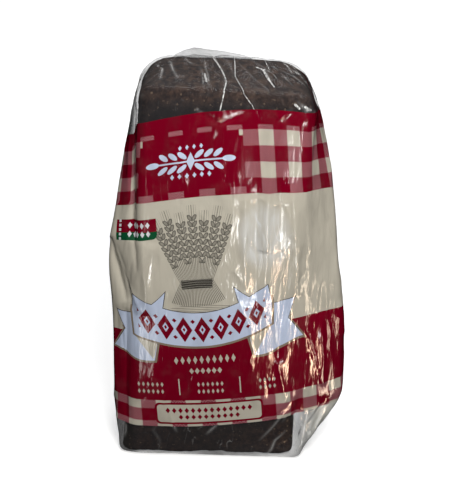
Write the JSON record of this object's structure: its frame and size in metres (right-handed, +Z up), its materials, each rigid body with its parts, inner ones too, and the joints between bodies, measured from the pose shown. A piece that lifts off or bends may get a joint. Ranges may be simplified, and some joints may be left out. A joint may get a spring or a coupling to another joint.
{
  "type": "tin loaf in a clear bag",
  "caption": "Dark rye tin loaf shut in a printed clear film bag, standing on one end, its film gathered over the top end.",
  "frame": {"origin": "middle of the bounding box's base, on the surface that the pack stands on", "axes": "+Z up along the loaf's length, -Y towards the front of the pack, +X to the right seen from the front"},
  "size_m": [0.1302, 0.0926, 0.2158],
  "materials": {
    "printed_film": "thin glossy film, printed dark red and cream, clear at both ends",
    "rye_crust": "matt dark rye crust with pale floury specks"
  },
  "bodies": {
    "root": {"bagged_loaf": "printed_film"}
  },
  "joints": []
}
